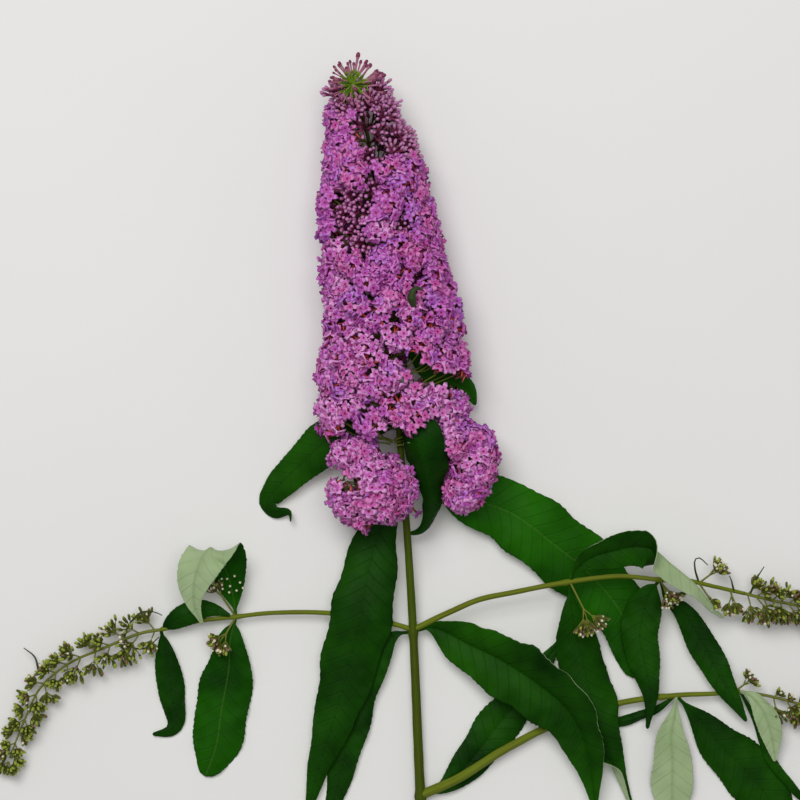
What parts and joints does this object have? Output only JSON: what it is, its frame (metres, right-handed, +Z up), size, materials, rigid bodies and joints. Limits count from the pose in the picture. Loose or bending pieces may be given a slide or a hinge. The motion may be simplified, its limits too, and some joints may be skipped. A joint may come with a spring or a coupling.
{
  "type": "cut flowering branch of butterfly bush",
  "caption": "Cut butterfly bush branch lying flat: a long spike of small four-lobed flowers, narrow pointed leaves in pairs, and side shoots that end in bud panicles.",
  "frame": {"origin": "under the middle of the branch's box, at the height of the surface it lies on", "axes": "+X across the branch, towards the two right shoots; +Y along the main stem, from its cut end towards the tip of the flower spike; +Z up from the surface"},
  "size_m": [0.5028, 0.4386, 0.0609],
  "materials": {
    "stem": "satin green bark",
    "leaf": "satin",
    "leaf_underside": "matte, felted",
    "flower": "matte",
    "bud": "matte"
  },
  "bodies": {
    "root": {"buds_left_down": "bud", "buds_left_end": "bud", "buds_left_up": "bud", "buds_low_up": "bud", "buds_lower_right_end": "bud", "buds_right_down": "bud", "buds_right_low": "bud", "buds_right_under": "bud", "buds_right_up": "bud", "buds_upper_right_end": "bud", "flowers_1_left": "flower", "flowers_1_right": "flower", "flowers_2_top": "flower", "flowers_2_under": "flower", "flowers_3_left": "flower", "flowers_3_right": "flower", "flowers_4_top": "flower", "flowers_4_under": "flower", "flowers_5_left": "flower", "flowers_5_right": "flower", "flowers_6_top": "flower", "flowers_6_under": "flower", "flowers_7_left": "flower", "flowers_7_right": "flower", "flowers_arc_right": "flower", "flowers_ball_left": "flower", "flowers_tip": "flower", "leaf_foot_right": "leaf", "leaf_fork_left": "leaf", "leaf_fork_right": "leaf", "leaf_left_curled": "leaf", "leaf_left_down": "leaf", "leaf_left_folded": "leaf", "leaf_left_narrow": "leaf", "leaf_long_left": "leaf", "leaf_low_dark": "leaf", "leaf_low_edge": "leaf", "leaf_low_narrow": "leaf", "leaf_low_pale": "leaf_underside", "leaf_low_silver": "leaf_underside", "leaf_right_down": "leaf", "leaf_right_folded": "leaf", "leaf_right_long": "leaf", "leaf_right_notched": "leaf", "leaf_spike_front": "leaf", "leaf_spike_left": "leaf", "leaf_spike_right": "leaf", "leaf_spike_small": "leaf", "main_stem": "stem", "shoot_left": "stem", "shoot_lower_right": "stem", "shoot_upper_right": "stem"}
  },
  "joints": []
}
